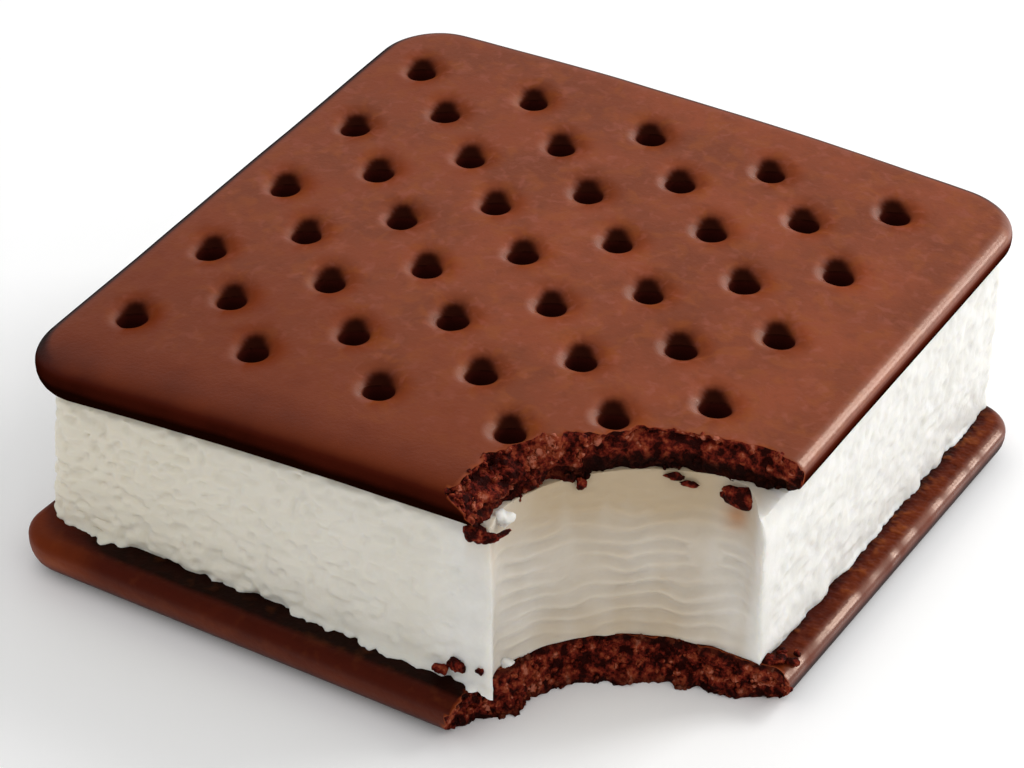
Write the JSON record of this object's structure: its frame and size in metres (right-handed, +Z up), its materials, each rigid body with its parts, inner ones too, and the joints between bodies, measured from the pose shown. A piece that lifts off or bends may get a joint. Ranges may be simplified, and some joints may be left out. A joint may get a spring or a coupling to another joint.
{
  "type": "ice cream sandwich",
  "caption": "Square ice cream sandwich: a thick vanilla slab between pricked chocolate wafers, with one corner bitten off, lying flat.",
  "frame": {"origin": "under the middle of the sandwich, on the plane that the lower wafer's flat underside lies on", "axes": "+Z up through the layers; the wafers' sides run along X and Y; the bitten corner points to +X, -Y"},
  "size_m": [0.0796, 0.0806, 0.0278],
  "materials": {
    "wafer": "baked chocolate wafer, satin and slightly mottled, crumbly where it is broken",
    "ice_cream": "frozen vanilla ice cream, pale cream, softly glossy and finely pitted"
  },
  "bodies": {
    "root": {"wafer_bottom": "wafer", "ice_cream": "ice_cream", "wafer_top": "wafer"}
  },
  "joints": []
}
